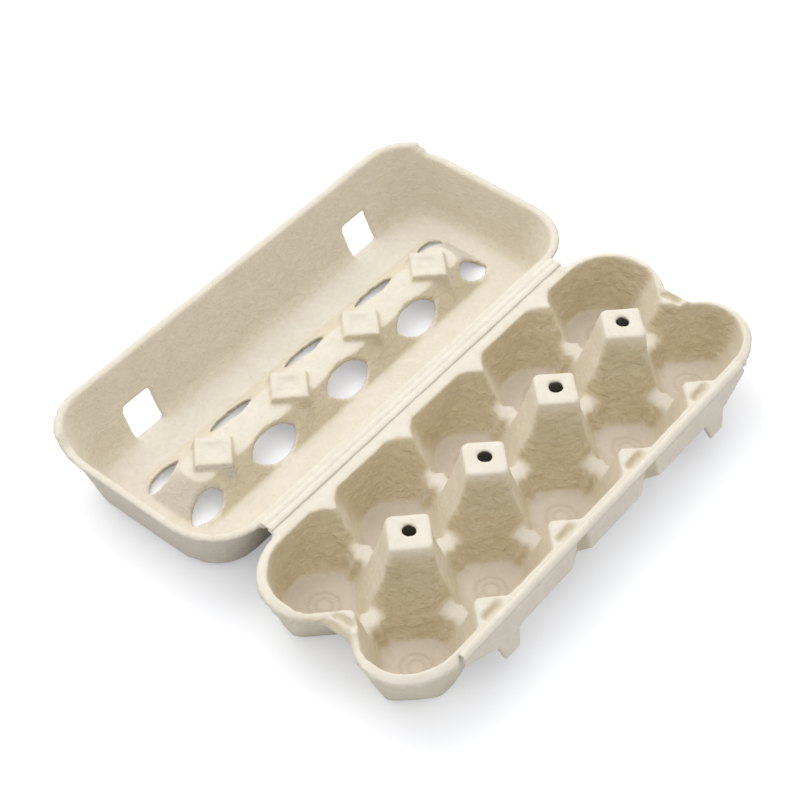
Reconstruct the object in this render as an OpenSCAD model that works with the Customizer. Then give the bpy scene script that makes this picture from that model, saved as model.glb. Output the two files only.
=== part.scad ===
// Moulded pulp egg carton for ten eggs, lying open: the tray stands on its cell feet, the lid has
// swung back on the moulded hinge and lies on its flat top, and the closing flap hangs at the front.
// X runs along the carton, Y from the front flap to the hinge and lid, Z up from the table.

/* [Pulp] */
// Thickness of the moulded pulp
wall = 2; // [1.4:0.1:2.4]
// Free space left between pieces that move past each other
clearance = 0.4; // [0.3:0.05:0.6]

/* [Cells] */
// Distance between neighbouring cells along the carton
cell_pitch = 48; // [46:0.5:52]
// Distance between the two rows of cells
row_pitch = 47; // [45:0.5:51]
// Half diagonal of the flat floor of a cell
cell_floor = 16.5; // [15:0.5:18]
// Half diagonal of a cell at the height of the rim
cell_mouth = 31.5; // [30:0.5:33]
// Curve of the cell wall from floor to rim, where 1 is a straight cone
bowl_curve = 0.75; // [0.65:0.05:0.85]
// Roundness of a cell in plan, where 1 is a straight diamond and 2 a circle
cell_round = 1.04; // [1:0.02:1.2]
// Roundness of the back row's cells on the side of the hinge
back_round = 1.35; // [1:0.05:1.6]
// Reach of the outer wall of an end cell from the cell's middle, at the rim
end_reach = 23.5; // [22.5:0.5:25]
// Reach of the front wall from the middle of the front row, at the rim
front_reach = 18; // [17:0.1:19]
// Reach of the back wall from the middle of the back row, at the rim
back_reach = 20; // [19:0.5:22.5]
// How far the outer walls lean in between the rim and the floor
outer_draft = 7; // [5:0.5:8]

/* [Posts and saddles] */
// Height of the post tops above the table
post_height = 44.4; // [42:0.1:47]
// Half diagonal of a post's flat top
post_top = 12; // [10:0.5:13]
// Half width of a post's blunt edges at its top
post_edge = 1.2; // [0.6:0.2:2]
// Diameter of the vent hole in each post top
vent_hole = 5.8; // [4:0.2:8]
// Shift of the vent hole from the middle of the post top, along X and along Y
vent_shift = 0.7; // [0:0.1:2]
// Height of the low saddles between neighbouring cells
saddle_height = 13.2; // [11:0.2:15]
// Half diagonal of the small flat on each saddle
saddle_flat = 5; // [4:0.2:6]
// How far that flat stands above the foot of the gap around it
saddle_stand = 0.8; // [0.5:0.1:1.2]

/* [Rim] */
// Height of the tray's rim
rim_height = 29.6; // [28:0.1:31]
// Width of the lip around the end cells
lip_width = 2.8; // [1.5:0.1:3]
// Fall of that lip towards its outer edge
lip_fall = 3.6; // [2:0.1:4]
// Width of the grooves between the rim and the flat ledges inside it
groove_width = 4.2; // [3:0.1:5]
// Depth of those grooves
groove_depth = 3.6; // [2:0.1:4]
// Width of the bead between a groove and the edge of the rim
bead_width = 1; // [0.8:0.1:2]
// Length of those grooves
groove_length = 13; // [10:0.5:15]
// Depth of the waist between the two end cells
end_waist = 6; // [4:0.5:9]
// Width of the strip between the back wall's outside and the hinge line
hinge_strip = 6.5; // [5:0.1:8]
// Half length of the hinge and of the flap's fold
fold_half = 97; // [94:0.5:99]

/* [Lid] */
// Depth of the lid at its front wall
lid_front_depth = 33.6; // [32:0.1:35]
// Half length of the lid at its rim
lid_rim_half = 119.4; // [118:0.2:121]
// Half length of the lid's flat top
lid_top_half = 112; // [110:0.5:114]
// Distance from the hinge line to the lid's back wall at the rim
lid_back_gap = 4; // [3.5:0.1:5]
// Width of the lid at its rim, from the back wall to the front wall
lid_rim_width = 100.4; // [100:0.2:103]
// Inward lean of the lid's back wall between rim and top
lid_back_draft = 7; // [5:0.5:9]
// Inward lean of the lid's front wall between rim and top
lid_front_draft = 13.2; // [12:0.2:14]
// Corner radius of the lid at its rim
lid_corner = 24; // [18:0.5:26]
// Rounding of the edge between the lid's walls and its flat top
lid_edge = 4; // [3:0.5:6]
// Outward step of the lid's rim
lid_flange = 1.8; // [1:0.1:2.5]
// Width of the small notches where the corner beads of the lid's rim end
notch_width = 2.6; // [2:0.1:3.5]
// Distance of the back notches from the lid's back wall
back_notch = 10; // [6:0.5:14]
// Distance of the front notches from the lid's front wall
front_notch = 28; // [24:0.5:32]

/* [Lid ridge] */
// Height of the ridge inside the lid
ridge_height = 12.4; // [11:0.1:13.5]
// Half width of the ridge at the lid's top panel
ridge_half_width = 22.4; // [21:0.2:25]
// Half length of the ridge at the lid's top panel
ridge_half_length = 102; // [99:0.5:104]
// Width of the ridge's flat crest
ridge_crest = 15; // [12:0.5:16]
// Half diagonal of the pads that rest on the posts
pad_size = 11; // [10:0.5:12]
// How much wider a pad's corners are at the lid's top panel
pad_flare = 5; // [4:0.5:8]
// Depth of the recess in the middle of a pad
pad_recess = 1.2; // [0.8:0.1:1.5]
// Length of a leaf window in the ridge
leaf_length = 27; // [24:0.5:29]
// Width of a leaf window on the hinge side of the ridge
leaf_width = 11.6; // [10:0.2:13]
// Width of a leaf window on the front side of the ridge
front_leaf_width = 9.5; // [8:0.5:12]
// Distance of the leaf windows from the middle of the ridge
leaf_offset = 12.5; // [11.5:0.1:13]

/* [Latch] */
// Width of each latch window in the lid's front wall
latch_window = 16.2; // [15:0.1:17]
// Height of each latch window above the lid's panel
latch_window_height = 14.5; // [13:0.5:16]
// Length of the closing flap from its fold to its free edge
flap_length = 11; // [10:0.1:13]
// Outward lean of the hanging flap
flap_lean = 17; // [12:1:22]
// Length of the nubs beyond the flap's free edge
nub_length = 8.6; // [7.4:0.2:11]
// Width of a nub where it leaves the flap
nub_base = 14; // [12:0.1:14.4]
// Width of a nub at its tip
nub_tip = 8.4; // [7:0.2:10]
// Length of the flap's narrowing ends
wing = 17; // [14:0.5:17.5]
// Length of the flap at its very ends, from the fold down
wing_tip = 4.4; // [3:0.1:6]
// Half width of the two stiffening darts in the flap
dart_half = 7; // [5:0.5:9]
// Height of the cut in the flap's free edge at each dart
dart_cut = 2.5; // [1:0.1:3]
// Depth of those darts
dart_depth = 2.4; // [1:0.1:2.6]

/* [Hidden] */
columns = 5;
side_steps = 28;
pulp_inside = [0.84, 0.80, 0.71];
pulp_lid = [0.87, 0.84, 0.76];
pulp_flap = [0.85, 0.81, 0.73];

column_x = [for (i = [0 : columns - 1]) (i - (columns - 1) / 2) * cell_pitch];
post_x = [for (i = [0 : columns - 2]) (i - (columns - 2) / 2) * cell_pitch];
row_y = row_pitch / 2;
end_x = column_x[columns - 1];
floor_height = wall;
axis_height = rim_height + clearance;
front_edge = -row_y - front_reach - wall - clearance;
hinge_y = row_y + back_reach + wall + hinge_strip;
fold_y = front_edge - clearance;

lid_middle = 2 * hinge_y;
lid_rim_back = hinge_y + lid_back_gap;
lid_rim_front = lid_rim_back + lid_rim_width;
lid_height = 2 * axis_height;
lid_rim_height = rim_height;
pad_height = lid_height - post_height - clearance;
ridge_drop = wall * 1.15;
latch_x = post_x[columns - 2];
lid_reach = lid_rim_front + lid_front_draft * (lid_front_depth / lid_rim_height - 1) + lid_flange;
flap_reach = fold_y - (flap_length + nub_length) * sin(flap_lean) - wall * cos(flap_lean);
middle_y = (lid_reach + flap_reach) / 2;
half_notch = end_x + end_reach - end_waist;
big = 400;

// Half diagonal of a cell at height z: a bowl up to the rim, then straight to the post top
function cell_size(z) =
    let (t = (z - floor_height) / (rim_height - floor_height),
        at_top = pow(pow(cell_pitch / 2 - post_top, cell_round) + pow(row_y, cell_round), 1 / cell_round))
    t <= 1 ? cell_floor + (cell_mouth - cell_floor) * pow(t, bowl_curve)
    : cell_mouth + (at_top - cell_mouth) * (z - rim_height) / (post_height - rim_height);

// How far a cell's outer wall stands inside its place at the rim, at height z
function outer_lean(z) =
    outer_draft * (1 - pow((z - floor_height) / (rim_height - floor_height), bowl_curve));

// Radius in direction a of a diamond of half diagonal c and roundness n
function diamond_radius(c, a, n) = c / pow(pow(abs(cos(a)), n) + pow(abs(sin(a)), n), 1 / n);

// Largest radius in direction a that the outer walls allow: an ellipse where two outer walls meet
function outer_limit(a, end, side, reach_x, reach_y) =
    let (on_end = end * cos(a) > 0.001, on_side = side * sin(a) > 0.001)
    on_end && on_side ? 1 / norm([cos(a) / reach_x, sin(a) / reach_y])
    : on_end ? reach_x / abs(cos(a))
    : on_side ? reach_y / abs(sin(a))
    : big;

// Outline of a cell at height z, grown outwards by d
function cell_outline(z, end, side, reach_y, d) =
    [for (k = [0 : side_steps - 1])
        let (
            a = k * 360 / side_steps,
            lean = outer_lean(z),
            n = side > 0 && sin(a) > 0 ? back_round : cell_round,
            limit = outer_limit(a, end, side, end_reach - lean + d, reach_y - lean * 0.6 + d),
            r = min(diamond_radius(cell_size(z) + d * sqrt(2), a, n), limit)
        )
        [r * cos(a), r * sin(a)]];

// Outline of a rectangle with round corners
function round_rectangle(x0, x1, y0, y1, r, steps = 7) =
    [for (c = [[x1 - r, y1 - r, 0], [x0 + r, y1 - r, 90], [x0 + r, y0 + r, 180], [x1 - r, y0 + r, 270]])
        for (k = [0 : steps]) let (a = c[2] + 90 * k / steps) [c[0] + r * cos(a), c[1] + r * sin(a)]];

// Solid between outlines of equal length, each given as [height, points]
module loft(rings) {
    n = len(rings[0][1]);
    last = len(rings) - 1;
    points = [for (ring = rings) for (p = ring[1]) [p[0], p[1], ring[0]]];
    bottom = [for (k = [n - 1 : -1 : 0]) k];
    top = [for (k = [0 : n - 1]) last * n + k];
    sides = [for (j = [0 : last - 1]) for (k = [0 : n - 1])
        let (m = (k + 1) % n)
        [j * n + k, (j + 1) * n + k, (j + 1) * n + m, j * n + m]];
    hull() polyhedron(points, concat([bottom, top], [for (s = sides) [s[3], s[2], s[1], s[0]]]));
}

// Air in one cell, grown by d on every side; end and side say where its outer walls are
module cell_space(end, side, d) {
    reach_y = side < 0 ? front_reach : back_reach;
    bowl = [for (t = [0.03, 0.14, 0.36, 0.68, 1]) floor_height + t * (rim_height - floor_height)];
    loft(concat(
        [[floor_height - d, cell_outline(floor_height, end, side, reach_y, d * 0.6)]],
        [for (z = concat(bowl, post_height + wall)) [z, cell_outline(z, end, side, reach_y, d)]]));
}

// Gap through the ridge between two cells, from just under the top of the saddle to the post tops
module saddle_gap(d) {
    half_low = saddle_flat + saddle_stand;
    half_top = row_y - post_top + post_edge;
    low = saddle_height - saddle_stand;
    widening = (half_top - half_low) / (post_height - low);
    rise = post_height + wall - low;
    translate([0, 0, low - d]) rotate(45)
        cylinder(h = rise + d, r1 = (half_low + d) * sqrt(2),
            r2 = (half_low + d + (rise + d) * widening) * sqrt(2), $fn = 4);
}

// Small block with a flat top that stands in the gap between two cells
module saddle(d) {
    flat = saddle_flat - 1.05 * d;
    rise = saddle_height - d + wall;
    translate([0, 0, -wall]) cylinder(h = rise, r1 = flat + rise / 2, r2 = flat, $fn = 4);
}

// Short groove with sloping ends, cut into the rim along X
module groove(d) {
    half = groove_width / 2 + 0.75 * d;
    deep = groove_depth + 1.1 * d;
    long = groove_length + 2 * d;
    translate([0, 0, rim_height]) hull() {
        translate([-long / 2, -half, 0]) cube([long, 2 * half, wall]);
        translate([-long / 3.5, -half * 0.25, -deep]) cube([long / 1.75, half * 0.5, wall]);
    }
}

// Outline of the lip round an end cell, at distance d outside the cell wall
function lip_outline(side, d) =
    let (reach_y = side < 0 ? front_reach : back_reach)
    [for (k = [0 : side_steps - 1]) let (a = k * 360 / side_steps)
        [(end_reach + wall + d) * cos(a), (reach_y + wall + d) * sin(a)]];

// Outline of the rim across the waist at an end, at distance d outside it
function waist_outline(d) = round_rectangle(-half_notch - d, half_notch + d, -row_y * 0.6, row_y * 0.6, 1, 1);

// Rim of the tray before the cells are sunk into it, lowered by d
module rim_plate(d) {
    base = -wall - d;
    translate([-fold_half, front_edge - wall, base])
        cube([2 * fold_half, hinge_y - clearance / 2 - front_edge + wall, rim_height - d - base]);
    translate([0, 0, -d])
        loft([
            [base, waist_outline(lip_width)],
            [rim_height - lip_fall, waist_outline(lip_width)],
            [rim_height, waist_outline(0)]]);
    for (end = [-1, 1], side = [-1, 1])
        translate([end * end_x, side * row_y, -d])
            loft([
                [base, lip_outline(side, lip_width)],
                [rim_height - lip_fall, lip_outline(side, lip_width)],
                [rim_height - lip_fall * 0.35, lip_outline(side, lip_width * 0.65)],
                [rim_height, lip_outline(side, -wall * 0.6)]]);
}

// Moulding face of the tray, moved d towards the mould, with the air under the rim where below is set
module tray_face(d, below = false) {
    ledge_groove = front_edge + bead_width + groove_width / 2;
    end_groove = half_notch - bead_width + lip_width / 4 - groove_width / 2;
    difference() {
        union() {
            rim_plate(d);
            for (x = post_x)
                translate([x, 0, -wall]) cylinder(h = post_height + wall - d, r = cell_pitch * 0.45, $fn = 4);
            if (below)
                translate([-big / 2, -big / 2, -2 * wall])
                    cube([big, big, rim_height - lip_fall + wall]);
        }
        for (x = column_x, side = [-1, 1])
            translate([x, side * row_y, 0]) cell_space(abs(x) < end_x ? 0 : sign(x), side, d);
        for (x = post_x, side = [-1, 1]) translate([x, side * row_y, 0]) saddle_gap(d);
        for (x = column_x) translate([x, 0, 0]) saddle_gap(d);
        for (x = post_x) translate([x, ledge_groove, 0]) groove(d);
        for (x = [-end_groove, end_groove]) translate([x, 0, 0]) rotate(90) groove(d);
    }
    for (x = post_x, side = [-1, 1]) translate([x, side * row_y, 0]) saddle(d);
    for (x = column_x) translate([x, 0, 0]) saddle(d);
}

// Room in front of the fold that the hanging flap takes up
module flap_room() {
    translate([-fold_half - clearance, front_edge - nub_length, -wall])
        cube([2 * (fold_half + clearance), nub_length, big]);
}

// Tray: two rows of five cells between hollow posts, with a rim and the tray's half of the hinge
module tray() {
    color(pulp_inside) translate([0, -middle_y, 0]) difference() {
        tray_face(0);
        tray_face(wall, below = true);
        flap_room();
        for (x = post_x)
            translate([x + vent_shift, vent_shift, post_height - 2 * wall])
                cylinder(h = 4 * wall, d = vent_hole, $fn = 24);
    }
}

// Outline of the lid's inside at height z above its panel's outer face, grown by d
function lid_outline(z, d) =
    let (t = z / lid_rim_height,
        half = lid_top_half + (lid_rim_half - lid_top_half) * t - wall + d,
        back = lid_rim_back + lid_back_draft * (1 - t) + wall - d,
        front = lid_rim_front - lid_front_draft * (1 - t) - wall + d)
    round_rectangle(-half, half, back, front, lid_corner - 5 * (1 - t) - wall + d);

// Hollow of the lid, grown by d
module lid_space(d) {
    deep = wall - d;
    loft([
        [deep, lid_outline(0, d - lid_edge)],
        [deep + lid_edge * 0.3, lid_outline(0, d - lid_edge * 0.3)],
        [deep + lid_edge, lid_outline(lid_edge, d)],
        [lid_front_depth + wall, lid_outline(lid_front_depth + wall, d)]]);
}

// Side view of everything under the lid's rim: level to the front corners, then up to the front wall
module under_lid_rim(lower) {
    step = lid_rim_front - lid_corner * 0.62;
    rotate([90, 0, 90]) translate([0, 0, -big / 2]) linear_extrude(big)
        polygon([
            [0, -wall],
            [0, lid_rim_height - lower],
            [step, lid_rim_height - lower],
            [step + 6, lid_front_depth - lower],
            [big, lid_front_depth - lower],
            [big, -wall]]);
}

// Ridge that carries the four pads, lowered by drop: a hipped roof with a flat crest, and the pads on it
module ridge(drop) {
    hip = ridge_half_length - ridge_half_width + ridge_crest / 2;
    translate([0, lid_middle, -drop]) {
        loft([
            [0, round_rectangle(-ridge_half_length, ridge_half_length,
                -ridge_half_width, ridge_half_width, ridge_crest * 0.6, 3)],
            [ridge_height, round_rectangle(-hip, hip,
                -ridge_crest / 2, ridge_crest / 2, ridge_crest * 0.4, 3)]]);
        for (x = post_x)
            translate([x, 0, wall])
                cylinder(h = pad_height - wall, r1 = pad_size + pad_flare, r2 = pad_size, $fn = 4);
    }
}

// Leaf-shaped window outline
module leaf(length, width) {
    bow = (length * length / 4 + width * width / 4) / width;
    intersection_for (s = [-1, 1])
        translate([0, s * (bow - width / 2)]) circle(bow, $fn = 48);
}

// Windows on both sides of the ridge, one over each egg, the end ones shorter
module leaf_windows() {
    for (x = column_x, side = [-1, 1]) {
        at_end = abs(x) == end_x;
        width = side < 0 ? leaf_width : front_leaf_width;
        translate([x - (at_end ? sign(x) * 6 : 0), lid_middle + side * leaf_offset, -wall])
            linear_extrude(ridge_height + 4 * wall)
                leaf(leaf_length - (at_end ? 8 : 0), width - (at_end ? 2 : 0));
    }
}

// Windows in the lid's front wall that take the nubs of the closing flap
module latch_windows() {
    for (x = [-latch_x, latch_x])
        translate([x - latch_window / 2, lid_rim_front - lid_front_draft - 3 * wall, wall])
            cube([latch_window, lid_front_draft + 2 * wall, latch_window_height]);
}

// Small notches where the corner beads of the lid's rim end
module rim_notches() {
    for (x = [-lid_rim_half, lid_rim_half], y = [lid_rim_back + back_notch, lid_rim_front - front_notch])
        translate([x, y, lid_rim_height - 0.7 * wall]) cylinder(h = 2 * wall, d = notch_width, $fn = 12);
}

// Lid: drafted shell with a hollow ridge inside, four pads, ten leaf windows and two latch windows
module lid() {
    color(pulp_lid) translate([0, -middle_y, 0]) difference() {
        union() {
            intersection() {
                lid_space(wall);
                under_lid_rim(0);
            }
            difference() {
                intersection() {
                    lid_space(wall + lid_flange);
                    under_lid_rim(0);
                }
                under_lid_rim(wall);
            }
            translate([-fold_half, hinge_y + clearance / 2, lid_rim_height - wall])
                cube([2 * fold_half, lid_back_gap + wall, wall]);
        }
        difference() {
            lid_space(0);
            ridge(0);
        }
        ridge(ridge_drop);
        for (x = post_x)
            translate([x, lid_middle, pad_height - pad_recess])
                cylinder(h = wall * 2, r1 = pad_size * 0.56, r2 = pad_size * 0.7, $fn = 4);
        leaf_windows();
        latch_windows();
        rim_notches();
    }
}

// Free edge of the flap, its darts and its flared ends, along the carton from the middle outwards
flap_start = 1.5 * clearance;
flap_edge = [
    [0, flap_length],
    [cell_pitch / 2 - dart_half, flap_length],
    [cell_pitch / 2, flap_length - dart_cut],
    [cell_pitch / 2 + dart_half, flap_length],
    [latch_x - nub_base / 2, flap_length],
    [latch_x - nub_tip / 2, flap_length + nub_length],
    [latch_x + nub_tip / 2, flap_length + nub_length],
    [latch_x + nub_base / 2, flap_length],
    [fold_half - wing, flap_length],
    [fold_half, wing_tip]];
flap_bend = [
    [cell_pitch / 2 - dart_half, 0],
    [cell_pitch / 2, -dart_depth],
    [cell_pitch / 2 + dart_half, 0],
    [fold_half - wing, 0],
    [fold_half, clearance]];
flap_bevel = [[fold_half - wing, 0], [fold_half, wall]];
half_x = [for (e = flap_edge) e[0]];
flap_x = concat([for (k = [len(half_x) - 1 : -1 : 1]) -half_x[k]], half_x);

// Place of a point v down the hanging flap and w in front of its inner face
function flap_point(x, v, w) =
    [
        x,
        fold_y - v * sin(flap_lean) - w * cos(flap_lean),
        rim_height - v * cos(flap_lean) + w * sin(flap_lean)
    ];

// Closing flap: a strip along the front fold with two nubs for the lid's latch windows
module closing_flap() {
    last = len(flap_x) - 1;
    points = [for (x = flap_x)
        let (v = lookup(abs(x), flap_edge), bend = lookup(abs(x), flap_bend))
        each [
            flap_point(x, flap_start, 0),
            flap_point(x, v, bend),
            flap_point(x, v, bend + wall),
            flap_point(x, flap_start + lookup(abs(x), flap_bevel), wall)]];
    sides = [for (k = [0 : last - 1]) for (j = [0 : 3])
        let (a = 4 * k + j, b = 4 * k + (j + 1) % 4, turned = (k < last / 2) == (j == 2))
        each turned ? [[a, b, b + 4], [a, b + 4, a + 4]] : [[a, b, a + 4], [b, b + 4, a + 4]]];
    ends = [[3, 2, 1, 0], [4 * last, 4 * last + 1, 4 * last + 2, 4 * last + 3]];
    color(pulp_flap) translate([0, -middle_y, 0]) polyhedron(points, concat(ends, sides));
}

tray();
lid();
closing_flap();
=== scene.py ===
from math import radians

import bpy
import numpy as np
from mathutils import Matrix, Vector, noise


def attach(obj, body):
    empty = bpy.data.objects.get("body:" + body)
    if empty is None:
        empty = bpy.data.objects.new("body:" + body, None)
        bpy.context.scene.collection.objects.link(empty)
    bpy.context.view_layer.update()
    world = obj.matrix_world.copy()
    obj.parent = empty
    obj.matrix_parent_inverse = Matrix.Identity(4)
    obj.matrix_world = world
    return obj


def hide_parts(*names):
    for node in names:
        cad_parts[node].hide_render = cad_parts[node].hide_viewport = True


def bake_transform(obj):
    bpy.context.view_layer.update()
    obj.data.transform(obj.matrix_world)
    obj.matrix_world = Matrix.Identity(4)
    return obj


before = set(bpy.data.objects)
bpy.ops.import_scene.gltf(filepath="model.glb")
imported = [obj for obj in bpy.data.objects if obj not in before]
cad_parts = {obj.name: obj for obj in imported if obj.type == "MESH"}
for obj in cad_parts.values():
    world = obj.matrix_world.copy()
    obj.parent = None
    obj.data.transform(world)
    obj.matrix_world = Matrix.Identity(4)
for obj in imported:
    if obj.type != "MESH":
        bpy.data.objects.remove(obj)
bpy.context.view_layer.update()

# Set: a white table, bleached a little for the camera, in a bright room that is lightest overhead and
# behind the carton. One broad window-like light stands high behind it, to the left of the view.
bpy.context.scene.view_settings.view_transform = "Standard"
table_mesh = bpy.data.meshes.new("table")
table_mesh.from_pydata([(-4, -4, 0), (4, -4, 0), (4, 4, 0), (-4, 4, 0)], [], [(0, 1, 2, 3)])
table = bpy.data.objects.new("table", table_mesh)
bpy.context.collection.objects.link(table)
table_paint = bpy.data.materials.new("white_table")
table_paint.use_nodes = True
table_face = table_paint.node_tree.nodes["Principled BSDF"]
table_face.inputs["Base Color"].default_value = (0.80, 0.80, 0.80, 1)
table_face.inputs["Roughness"].default_value = 0.8
table_face.inputs["Emission Color"].default_value = (0.90, 0.93, 1.0, 1)
seen = table_paint.node_tree.nodes.new("ShaderNodeLightPath")
bleach = table_paint.node_tree.nodes.new("ShaderNodeMath")
bleach.operation = "MULTIPLY"
bleach.inputs[1].default_value = 0.30
table_paint.node_tree.links.new(seen.outputs["Is Camera Ray"], bleach.inputs[0])
table_paint.node_tree.links.new(bleach.outputs[0], table_face.inputs["Emission Strength"])
table_mesh.materials.append(table_paint)

room = bpy.data.worlds.new("bright_room")
room.use_nodes = True
air = room.node_tree.nodes
wall_side = air.new("ShaderNodeTexCoord")
towards = air.new("ShaderNodeVectorMath")
towards.operation = "DOT_PRODUCT"
towards.inputs[1].default_value = (0.36, 0.36, 0.86)
fade = air.new("ShaderNodeMapRange")
fade.inputs["From Min"].default_value = -0.5
fade.inputs["From Max"].default_value = 0.75
sky = air.new("ShaderNodeMix")
sky.data_type = "RGBA"
colour_a, colour_b, colour_out = 6, 7, 2
sky.inputs[colour_a].default_value = (0.46, 0.46, 0.47, 1)
sky.inputs[colour_b].default_value = (1.05, 1.05, 1.07, 1)
room.node_tree.links.new(wall_side.outputs["Generated"], towards.inputs[0])
room.node_tree.links.new(towards.outputs["Value"], fade.inputs["Value"])
room.node_tree.links.new(fade.outputs["Result"], sky.inputs["Factor"])
room.node_tree.links.new(sky.outputs[colour_out], air["Background"].inputs["Color"])
air["Background"].inputs["Strength"].default_value = 1.02
bpy.context.scene.world = room

window = bpy.data.objects.new("back_window", bpy.data.lights.new("back_window", "AREA"))
window.data.size = 1.3
window.data.energy = 9.0
window.data.color = (1.0, 0.995, 0.985)
window.location = (0.25, 1.0, 1.3)
window.rotation_euler = (Vector((0, 0, 0.02)) - window.location).to_track_quat("-Z", "Y").to_euler()
bpy.context.collection.objects.link(window)

camera = bpy.data.objects.new("camera", bpy.data.cameras.new("camera"))
camera.data.sensor_width = 36
camera.data.lens = 87.69
camera.location = (-0.4353, -0.3368, 0.6322)
camera.rotation_euler = (radians(41.93), radians(-0.42), radians(-51.13))
bpy.context.collection.objects.link(camera)
bpy.context.scene.camera = camera

# Tray: the cells, posts and rim of the carton, sucked onto a wire mould from wet pulp and dried.
# Its walls keep the rough felt of the pulp and the feet are pressed smooth round a small ring. The walls
# are darker partly from that felt and partly as painted shade; faces turned to the camera, cell floors,
# ring grooves and outer walls carry painted shade, so the flats and rims stay palest. All its corners are
# soft, because fibres bridge them.
fibres = bpy.data.node_groups.new("pulp_fibres", "ShaderNodeTree")
for name, kind, value in (
    ("Pale", "NodeSocketColor", (0.8, 0.74, 0.62, 1)),
    ("Deep", "NodeSocketColor", (0.6, 0.52, 0.38, 1)),
    ("Patches", "NodeSocketFloat", 0.3),
    ("Flecks", "NodeSocketFloat", 0.4),
    ("Streaks", "NodeSocketFloat", 1.0),
):
    socket = fibres.interface.new_socket(name, in_out="INPUT", socket_type=kind)
    socket.default_value = value
for name, kind in (("Colour", "NodeSocketColor"), ("Roughness", "NodeSocketFloat"),
                   ("Height", "NodeSocketFloat"), ("Wrinkles", "NodeSocketFloat")):
    fibres.interface.new_socket(name, in_out="OUTPUT", socket_type=kind)
fibre_nodes, link = fibres.nodes, fibres.links.new
group_in = fibre_nodes.new("NodeGroupInput")
group_out = fibre_nodes.new("NodeGroupOutput")
on_piece = fibre_nodes.new("ShaderNodeTexCoord")
squeeze = fibre_nodes.new("ShaderNodeCombineXYZ")
squeeze.inputs["X"].default_value = 1
squeeze.inputs["Y"].default_value = 1
link(group_in.outputs["Streaks"], squeeze.inputs["Z"])
drawn_out = fibre_nodes.new("ShaderNodeVectorMath")
drawn_out.operation = "MULTIPLY"
link(on_piece.outputs["Object"], drawn_out.inputs[0])
link(squeeze.outputs["Vector"], drawn_out.inputs[1])
layers = {}
for name, scale, detail, rough, twist in (
    ("patch", 55, 3, 0.5, 0.3),
    ("wrinkle", 190, 4, 0.6, 1.2),
    ("grain", 520, 5, 0.62, 0.6),
    ("fibre", 1700, 3, 0.6, 2.5),
):
    layers[name] = fibre_nodes.new("ShaderNodeTexNoise")
    layers[name].inputs["Scale"].default_value = scale
    layers[name].inputs["Detail"].default_value = detail
    layers[name].inputs["Roughness"].default_value = rough
    layers[name].inputs["Distortion"].default_value = twist
    link(drawn_out.outputs[0], layers[name].inputs["Vector"])
speck = fibre_nodes.new("ShaderNodeTexVoronoi")
speck.inputs["Scale"].default_value = 330
speck.inputs["Randomness"].default_value = 1.0
link(drawn_out.outputs[0], speck.inputs["Vector"])


def blend_values(a, b, share):
    mix = fibre_nodes.new("ShaderNodeMix")
    if isinstance(share, float):
        mix.inputs["Factor"].default_value = share
    else:
        link(share, mix.inputs["Factor"])
    link(a, mix.inputs["A"])
    link(b, mix.inputs["B"])
    return mix.outputs["Result"]


def stretch(value, low, high, to_low=0.0, to_high=1.0):
    ramp = fibre_nodes.new("ShaderNodeMapRange")
    ramp.inputs["From Min"].default_value = low
    ramp.inputs["From Max"].default_value = high
    ramp.inputs["To Min"].default_value = to_low
    ramp.inputs["To Max"].default_value = to_high
    link(value, ramp.inputs["Value"])
    return ramp.outputs["Result"]


fine = blend_values(layers["grain"].outputs["Fac"], layers["fibre"].outputs["Fac"], 0.3)
folds = blend_values(layers["wrinkle"].outputs["Fac"], layers["grain"].outputs["Fac"], 0.3)
tone = blend_values(stretch(folds, 0.35, 0.65), stretch(layers["patch"].outputs["Fac"], 0.3, 0.7),
                    group_in.outputs["Patches"])
ground = fibre_nodes.new("ShaderNodeMix")
ground.data_type = "RGBA"
link(tone, ground.inputs["Factor"])
link(group_in.outputs["Deep"], ground.inputs[colour_a])
link(group_in.outputs["Pale"], ground.inputs[colour_b])
fleck_mask = fibre_nodes.new("ShaderNodeMath")
fleck_mask.operation = "MULTIPLY"
link(stretch(speck.outputs["Distance"], 0.14, 0.05), fleck_mask.inputs[0])
link(group_in.outputs["Flecks"], fleck_mask.inputs[1])
flecked = fibre_nodes.new("ShaderNodeMix")
flecked.data_type = "RGBA"
flecked.inputs[colour_b].default_value = (0.34, 0.28, 0.19, 1)
link(fleck_mask.outputs[0], flecked.inputs["Factor"])
link(ground.outputs[colour_out], flecked.inputs[colour_a])
link(flecked.outputs[colour_out], group_out.inputs["Colour"])
link(stretch(fine, 0.3, 0.7, 0.97, 0.82), group_out.inputs["Roughness"])
link(fine, group_out.inputs["Height"])
link(folds, group_out.inputs["Wrinkles"])


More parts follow.
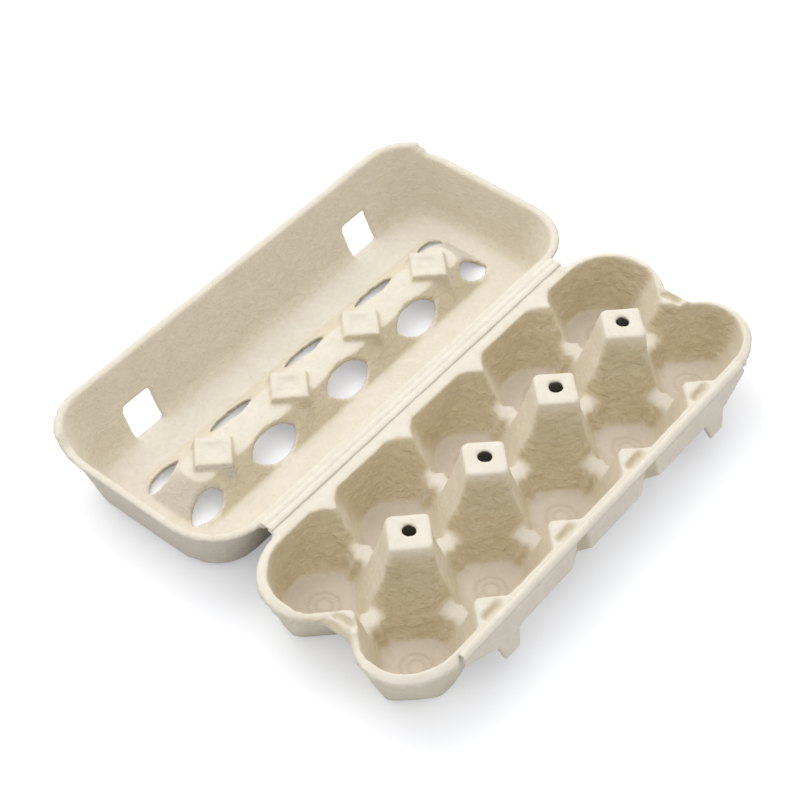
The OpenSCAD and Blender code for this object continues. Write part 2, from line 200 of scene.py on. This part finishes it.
def pulp(name, pale, deep, patches, flecks, streaks, depth, zones=()):
    material = bpy.data.materials.new(name)
    material.use_nodes = True
    nodes, wire = material.node_tree.nodes, material.node_tree.links.new
    surface = nodes["Principled BSDF"]
    surface.inputs["Specular IOR Level"].default_value = 0.2
    weave = nodes.new("ShaderNodeGroup")
    weave.node_tree = fibres
    weave.inputs["Pale"].default_value = (*pale, 1)
    weave.inputs["Deep"].default_value = (*deep, 1)
    weave.inputs["Patches"].default_value = patches
    weave.inputs["Flecks"].default_value = flecks
    weave.inputs["Streaks"].default_value = streaks
    grain = nodes.new("ShaderNodeBump")
    grain.inputs["Strength"].default_value = 0.7
    grain.inputs["Distance"].default_value = depth
    wire(weave.outputs["Height"], grain.inputs["Height"])
    last = grain
    before = {"Pale": None, "Deep": None}
    for zone, zone_pale, zone_deep, wrinkle_depth in zones:
        mask = nodes.new("ShaderNodeAttribute")
        mask.attribute_name = zone
        for side, colour, under in (("Pale", zone_pale, pale), ("Deep", zone_deep, deep)):
            mix = nodes.new("ShaderNodeMix")
            mix.data_type = "RGBA"
            if before[side] is None:
                mix.inputs[colour_a].default_value = (*under, 1)
            else:
                wire(before[side], mix.inputs[colour_a])
            mix.inputs[colour_b].default_value = (*colour, 1)
            wire(mask.outputs["Fac"], mix.inputs["Factor"])
            wire(mix.outputs[colour_out], weave.inputs[side])
            before[side] = mix.outputs[colour_out]
        if wrinkle_depth:
            crumple = nodes.new("ShaderNodeBump")
            crumple.inputs["Distance"].default_value = wrinkle_depth
            wire(mask.outputs["Fac"], crumple.inputs["Strength"])
            wire(weave.outputs["Wrinkles"], crumple.inputs["Height"])
            wire(last.outputs["Normal"], crumple.inputs["Normal"])
            last = crumple
    wire(weave.outputs["Colour"], surface.inputs["Base Color"])
    wire(weave.outputs["Roughness"], surface.inputs["Roughness"])
    wire(last.outputs["Normal"], surface.inputs["Normal"])
    return material


def settle(piece):
    shaped = piece.evaluated_get(bpy.context.evaluated_depsgraph_get())
    piece.data = bpy.data.meshes.new_from_object(shaped)
    piece.modifiers.clear()
    piece.vertex_groups.clear()


def bare_copy(node, name):
    piece = bpy.data.objects.new(name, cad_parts[node].data.copy())
    bpy.context.collection.objects.link(piece)
    piece.data.materials.clear()
    piece.modifiers.new("weld", "WELD").merge_threshold = 0.000001
    settle(piece)
    return piece


def choose(piece, name, chosen):
    group = piece.vertex_groups.new(name=name)
    group.add([int(i) for i in np.nonzero(chosen)[0]], 1.0, "REPLACE")


def melt(piece, chosen, rounds):
    choose(piece, "soft", chosen)
    soft = piece.modifiers.new("soft", "SMOOTH")
    soft.factor = 0.5
    soft.iterations = rounds
    soft.vertex_group = "soft"
    settle(piece)


def moulded(piece, voxel, rounds, keep_under=1.0, lip=(0.0, 0.0)):
    skin = piece.modifiers.new("skin", "REMESH")
    skin.mode = "VOXEL"
    skin.voxel_size = voxel
    settle(piece)
    melt(piece, np.ones(len(piece.data.vertices)), rounds)
    if keep_under < 1:
        place, facing = points_and_normals(piece.data)
        on_lip = (place[:, 2] > lip[0]) & (place[:, 2] < lip[1])
        choose(piece, "under", (facing[:, 2] < -0.12) & ~on_lip)
        thin = piece.modifiers.new("thin", "DECIMATE")
        thin.ratio = keep_under
        thin.vertex_group = "under"
        settle(piece)
    piece.data.polygons.foreach_set("use_smooth", [True] * len(piece.data.polygons))


def points_and_normals(mesh):
    place = np.empty(len(mesh.vertices) * 3, dtype=np.float32)
    facing = np.empty(len(mesh.vertices) * 3, dtype=np.float32)
    mesh.vertices.foreach_get("co", place)
    mesh.vertex_normals.foreach_get("vector", facing)
    return place.reshape(-1, 3).astype(float), facing.reshape(-1, 3).astype(float)


def move_points(mesh, place):
    mesh.vertices.foreach_set("co", place.astype(np.float32).ravel())
    mesh.update()


def push_out(mesh, depth):
    place, facing = points_and_normals(mesh)
    place = place + facing * depth[:, None]
    place[:, 2] = np.maximum(place[:, 2], 0.0)
    move_points(mesh, place)


def lumps(place, across, up):
    scale = np.array([across, across, up])
    return np.array([noise.noise(Vector(p)) for p in place * scale])


def rise(value, low, high):
    t = np.clip((value - low) / (high - low), 0, 1)
    return t * t * (3 - 2 * t)


def spread(mesh, amount, rounds):
    ends = np.empty(len(mesh.edges) * 2, dtype=np.int32)
    mesh.edges.foreach_get("vertices", ends)
    a, b = ends[0::2], ends[1::2]
    shared = np.maximum(np.bincount(ends, minlength=len(amount)), 1)
    for step in range(rounds):
        near = np.bincount(a, amount[b], len(amount)) + np.bincount(b, amount[a], len(amount))
        amount = (amount + near / shared) / 2
    return amount


def mark(mesh, zone, amount):
    attribute = mesh.attributes.new(zone, "FLOAT", "POINT")
    attribute.data.foreach_set("value", amount.astype(np.float32))


cell_pitch = 0.048
end_column = 2 * cell_pitch
row_offset = 0.0235
tray_y = -0.05402
rim_top = 0.0296
saddle_top = 0.0125
lip = (0.0225, 0.0300)

tray = bare_copy("tray", "pulp_tray")
moulded(tray, 0.00105, 2, keep_under=0.72, lip=lip)
place_at, facing = points_and_normals(tray.data)
melt(tray, (np.abs(place_at[:, 2] - saddle_top) < 0.0045) & (facing[:, 2] > -0.3), 8)
melt(tray, (place_at[:, 2] > lip[0]) & (place_at[:, 2] < 0.0278) & (facing[:, 2] < 0.3), 12)

place_at, facing = points_and_normals(tray.data)
x, y, z = place_at[:, 0], place_at[:, 1] - tray_y, place_at[:, 2]
past_end = np.maximum(np.abs(x) - end_column, 0) / 0.0245
past_row = (np.abs(y) - row_offset) / np.where(y < 0, 0.0190, 0.0210)
within = 1 - rise(np.hypot(past_end, np.maximum(past_row, 0)), 0.96, 1.02)
flat = rise(facing[:, 2], 0.55, 0.85)
# Steep walls inside the cells: their darker colour is partly the rougher felt side of the pulp and partly
# painted shade of the deep cells.
wall = (1 - flat) * rise(facing[:, 2], -0.12, 0.02) * within
wall *= 1 - 0.6 * rise(z, 0.037, 0.042)
# Faces turned towards the camera, away from the back light, get painted shade (darker, browner colour) as
# well as rougher felt.
near_face_shade = spread(tray.data, wall * rise(facing[:, 0] * -0.62 + facing[:, 1] * -0.78, -0.05, 0.45), 8)
wall = spread(tray.data, wall, 6)
# Floors at the bottom of the cells get painted shade.
foot = flat * (1 - rise(z, 0.0035, 0.006))
foot_radius = np.hypot((x + cell_pitch / 2) % cell_pitch - cell_pitch / 2, np.abs(y) - row_offset)
# The ring grooves round each foot are pressed in and also painted darker as shade.
ring = foot * sum(np.exp(-((foot_radius - radius) / 0.0007) ** 2) for radius in (0.0034, 0.0064))
from_cell = np.stack([x - cell_pitch * np.clip(np.round(x / cell_pitch), -2, 2),
                      y - row_offset * np.sign(y)], axis=1)
outward = np.sum(from_cell * facing[:, :2], axis=1) / (np.linalg.norm(from_cell, axis=1) + 0.0001)
# Outer walls of the tray get painted shade.
outside = rise(outward, 0.1, 0.4) * (1 - rise(facing[:, 2], 0.3, 0.7))
rim = rise(z, 0.0275, 0.0288) * (1 - rise(z, 0.0302, 0.0320)) * within
felt = lumps(place_at, 270, 480)
crumbs = lumps(place_at, 560, 760)
push_out(tray.data,
         0.00020 * lumps(place_at, 40, 40) + 0.00022 * lumps(place_at, 125, 125) + 0.00008 * crumbs
         + (0.00010 * wall + 0.00026 * near_face_shade) * felt + 0.00018 * near_face_shade * crumbs
         + 0.00022 * rim * lumps(place_at, 190, 190) - 0.00040 * ring)
mark(tray.data, "wall", wall)
mark(tray.data, "near_face_shade", near_face_shade)
mark(tray.data, "foot", foot)
mark(tray.data, "ring", ring)
mark(tray.data, "outside", outside)
# Zone colours: the steep walls are darker partly from the felt side's own tone and partly as painted
# shade; the near faces, cell floors, ring grooves and outer walls are painted shade.
tray.data.materials.append(
    pulp("tray_pulp", pale=(0.83, 0.775, 0.665), deep=(0.75, 0.69, 0.57),
         patches=0.35, flecks=0.22, streaks=1.7, depth=0.0004,
         zones=(("wall", (0.79, 0.72, 0.58), (0.69, 0.61, 0.46), 0.0004),
                ("near_face_shade", (0.75, 0.65, 0.46), (0.60, 0.51, 0.33), 0.0010),
                ("foot", (0.745, 0.67, 0.565), (0.69, 0.605, 0.50), 0),
                ("ring", (0.64, 0.56, 0.46), (0.60, 0.52, 0.42), 0),
                ("outside", (0.715, 0.675, 0.555), (0.645, 0.60, 0.475), 0.0003))))
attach(tray, "tray")
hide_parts("tray")

# Lid: the carton's cover, moulded in the same sheet and pressed smoother, with a hollow ridge,
# pads that rest on the posts, leaf-shaped vents and two windows for the nubs.
ridge_y = 0.04998
ridge_zone = 0.024

lid = bare_copy("lid", "pulp_lid")
place_at, facing = points_and_normals(lid.data)
hollow = (facing[:, 2] < -0.1) & (np.abs(place_at[:, 2] - 0.007) < 0.0065)
push_out(lid.data, 0.0006 * (hollow & (np.abs(place_at[:, 1] - ridge_y) < ridge_zone)))
moulded(lid, 0.00100, 2)
place_at, facing = points_and_normals(lid.data)
on_ridge = (np.abs(place_at[:, 1] - ridge_y) < ridge_zone) & (np.abs(place_at[:, 0]) < 0.104)
melt(lid, on_ridge & (place_at[:, 2] > 0.0024), 5)

place_at, facing = points_and_normals(lid.data)
x, y, z = place_at.T
# Sloped faces are painted a little darker than the flats as shade.
slope_shade = 1 - rise(facing[:, 2], 0.80, 0.97)
# Slopes turned towards the camera get painted shade.
near_slope_shade = slope_shade * rise(facing[:, 0] * -0.45 + facing[:, 1] * -0.89, 0.1, 0.5)
# The near flank of the ridge gets stronger painted shade.
flank_shade = near_slope_shade * (1 - rise(np.abs(y - ridge_y), 0.0205, 0.0225)) * rise(z, 0.0016, 0.0030)
flank_shade *= 1 - rise(np.abs(x), 0.1035, 0.1060)
outward = x / 0.12 * facing[:, 0] + (y - 0.052) / 0.054 * facing[:, 1]
crest = rise(z, 0.009, 0.0125) * (1 - rise(z, 0.0155, 0.017))
push_out(lid.data,
         0.00022 * lumps(place_at, 30, 30) + 0.00008 * lumps(place_at, 420, 420)
         + (0.00010 + 0.00012 * crest) * lumps(place_at, 240, 240))
# Outer walls of the lid get painted shade.
mark(lid.data, "outside", rise(outward, 0.2, 0.5) * rise(z, 0.0, 0.001))
mark(lid.data, "slope_shade", slope_shade)
mark(lid.data, "flank_shade", flank_shade)
mark(lid.data, "near_slope_shade", spread(lid.data, near_slope_shade, 60))
# Zone colours: the slope, near-slope, flank and outer-wall colours are painted shade.
lid.data.materials.append(
    pulp("lid_pulp", pale=(0.82, 0.765, 0.655), deep=(0.735, 0.675, 0.56),
         patches=0.3, flecks=0.25, streaks=1.6, depth=0.00035,
         zones=(("slope_shade", (0.80, 0.735, 0.60), (0.71, 0.64, 0.50), 0.0003),
                ("near_slope_shade", (0.76, 0.69, 0.545), (0.67, 0.60, 0.455), 0.0004),
                ("flank_shade", (0.66, 0.585, 0.43), (0.56, 0.49, 0.345), 0.0006),
                ("outside", (0.70, 0.65, 0.56), (0.63, 0.58, 0.49), 0.0003))))
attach(lid, "lid")
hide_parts("lid")

# Closing flap: the strip folded down along the front rim, with two nubs and two pressed darts.
# It is the same pulp as the tray, painted darker as shade on its front-turned face, and hangs from its
# fold.
fold_y = -0.09832
lean = radians(17)
sheet = 0.0020
fold_edge = 0.0007
dart_shade = 0.0025

flap = bare_copy("closing_flap", "pulp_flap")
moulded(flap, 0.0006, 3)
place_at, facing = points_and_normals(flap.data)
ahead, below = fold_y - place_at[:, 1], rim_top - place_at[:, 2]
down = ahead * np.sin(lean) + below * np.cos(lean)
thick = ahead * np.cos(lean) - below * np.sin(lean)
pinch = np.maximum(thick - fold_edge - (sheet - fold_edge) * np.clip(down / 0.004, 0, 1), 0)
place_at[:, 1] += pinch * np.cos(lean)
place_at[:, 2] -= pinch * np.sin(lean)
move_points(flap.data, place_at)
# One side of each dart recess, under the fold, gets painted shade.
from_dart = np.minimum(*(np.abs(place_at[:, 0] - dart_shade - side * cell_pitch / 2) for side in (-1, 1)))
dart = (1 - rise(from_dart, 0.0020, 0.0050)) * rise(down, 0.0008, 0.0030) * rise(-facing[:, 1], 0.2, 0.5)
push_out(flap.data, 0.0002 * lumps(place_at, 70, 70) + 0.00010 * lumps(place_at, 420, 420))
mark(flap.data, "dart", dart)
# The flap's colours are the tray pulp painted darker as shade for its face turned to the front.
flap.data.materials.append(
    pulp("flap_pulp", pale=(0.75, 0.70, 0.605), deep=(0.665, 0.61, 0.51),
         patches=0.35, flecks=0.25, streaks=1.6, depth=0.00045,
         zones=(("dart", (0.58, 0.53, 0.41), (0.50, 0.45, 0.33), 0.0003),)))
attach(flap, "closing_flap")
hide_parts("closing_flap")


# Hinge crease: the thinned strip between tray and lid, pressed into two beads with a groove between
# them, where the pulp bends when the lid swings over.
def crease(name, path, half, steps, thin, wave):
    spots = np.array(path)
    along = np.linspace(-half, half, steps)
    rows = len(spots)
    turn = np.gradient(spots, axis=0)
    turn /= np.linalg.norm(turn, axis=1)[:, None]
    outward = np.stack([-turn[:, 1], turn[:, 0]], axis=1)
    corners = []
    for x in along:
        for spot, out in zip(spots, outward):
            lift = wave * noise.noise(Vector((x * 230, spot[0] * 600, spot[1] * 600)))
            corners.append((x, *(spot + out * lift)))
        for spot, out in zip(spots[::-1], outward[::-1]):
            corners.append((x, *(spot - out * thin)))
    loop = 2 * rows
    faces = [(i * loop + k, i * loop + (k + 1) % loop, (i + 1) * loop + (k + 1) % loop, (i + 1) * loop + k)
             for i in range(steps - 1) for k in range(loop)]
    faces.append(tuple(range(loop))[::-1])
    faces.append(tuple((steps - 1) * loop + k for k in range(loop)))
    mesh = bpy.data.meshes.new(name)
    mesh.from_pydata(corners, [], faces)
    mesh.update()
    mesh.polygons.foreach_set("use_smooth", [True] * len(mesh.polygons))
    piece = bpy.data.objects.new(name, mesh)
    bpy.context.collection.objects.link(piece)
    return piece


axis_y = -0.00202
bead = [(-2.9, -0.30), (-2.3, 0.0), (-1.6, 0.12), (-0.9, 0.10), (-0.4, -0.10), (0.0, -0.24),
        (0.4, -0.10), (0.9, 0.10), (1.6, 0.12), (2.3, 0.0), (2.9, -0.30)]
hinge_crease = crease("hinge_crease", [(axis_y + y / 1000, rim_top + z / 1000) for y, z in bead[::-1]],
                      0.0968, 240, 0.0007, 0.00014)
hinge_crease.data.materials.append(
    pulp("crease_pulp", pale=(0.84, 0.785, 0.675), deep=(0.75, 0.69, 0.57),
         patches=0.3, flecks=0.2, streaks=1.0, depth=0.0004))
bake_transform(hinge_crease)

# Flap crease: the outer bend of the sheet, where the rim of the tray turns down into the closing flap.
# The press has thinned the pulp along it, and it bends when the flap is folded up.
bend = [(-97.5, 29.45), (-97.9, 29.66), (-98.4, 29.74), (-98.95, 29.64), (-99.4, 29.36), (-99.75, 28.9),
        (-100.0, 28.5), (-100.1, 28.05)]
flap_crease = crease("flap_crease", [(y / 1000, z / 1000) for y, z in bend], 0.0966, 240, 0.0006, 0.00012)
flap_crease.data.materials.append(bpy.data.materials["crease_pulp"])
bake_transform(flap_crease)
